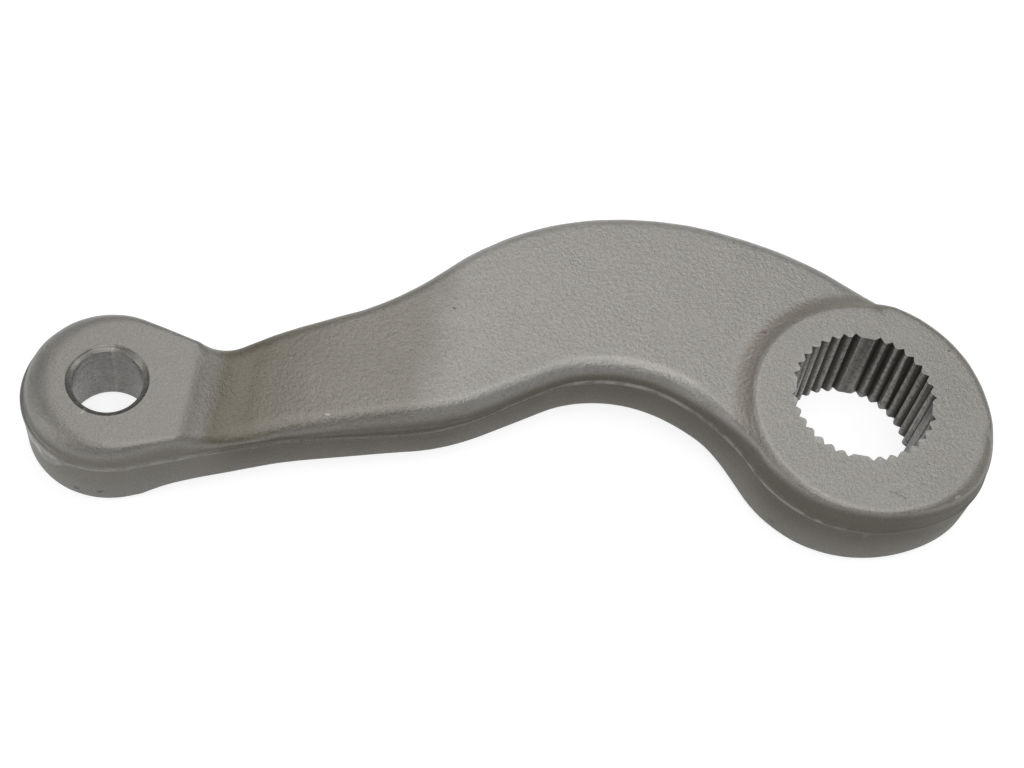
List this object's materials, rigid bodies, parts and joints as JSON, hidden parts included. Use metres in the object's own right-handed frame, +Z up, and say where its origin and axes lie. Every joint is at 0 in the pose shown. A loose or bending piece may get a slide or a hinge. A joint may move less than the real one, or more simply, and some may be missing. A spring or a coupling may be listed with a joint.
{
  "type": "pitman arm",
  "caption": "Forged steel steering arm with a serrated tapered hub at one end, a bowed web and a tapered ball-stud eye at the other.",
  "frame": {"origin": "on the axis of the serrated hole at the hub's lower face", "axes": "+Z up the axis of the serrated hole, out of its wide end; the small eye lies along -X and the web bows towards +Y"},
  "size_m": [0.2086, 0.078, 0.022],
  "materials": {
    "forged_steel": "shot-blasted satin forging with milled faces"
  },
  "bodies": {
    "root": {"pitman_arm": "forged_steel"}
  },
  "joints": []
}
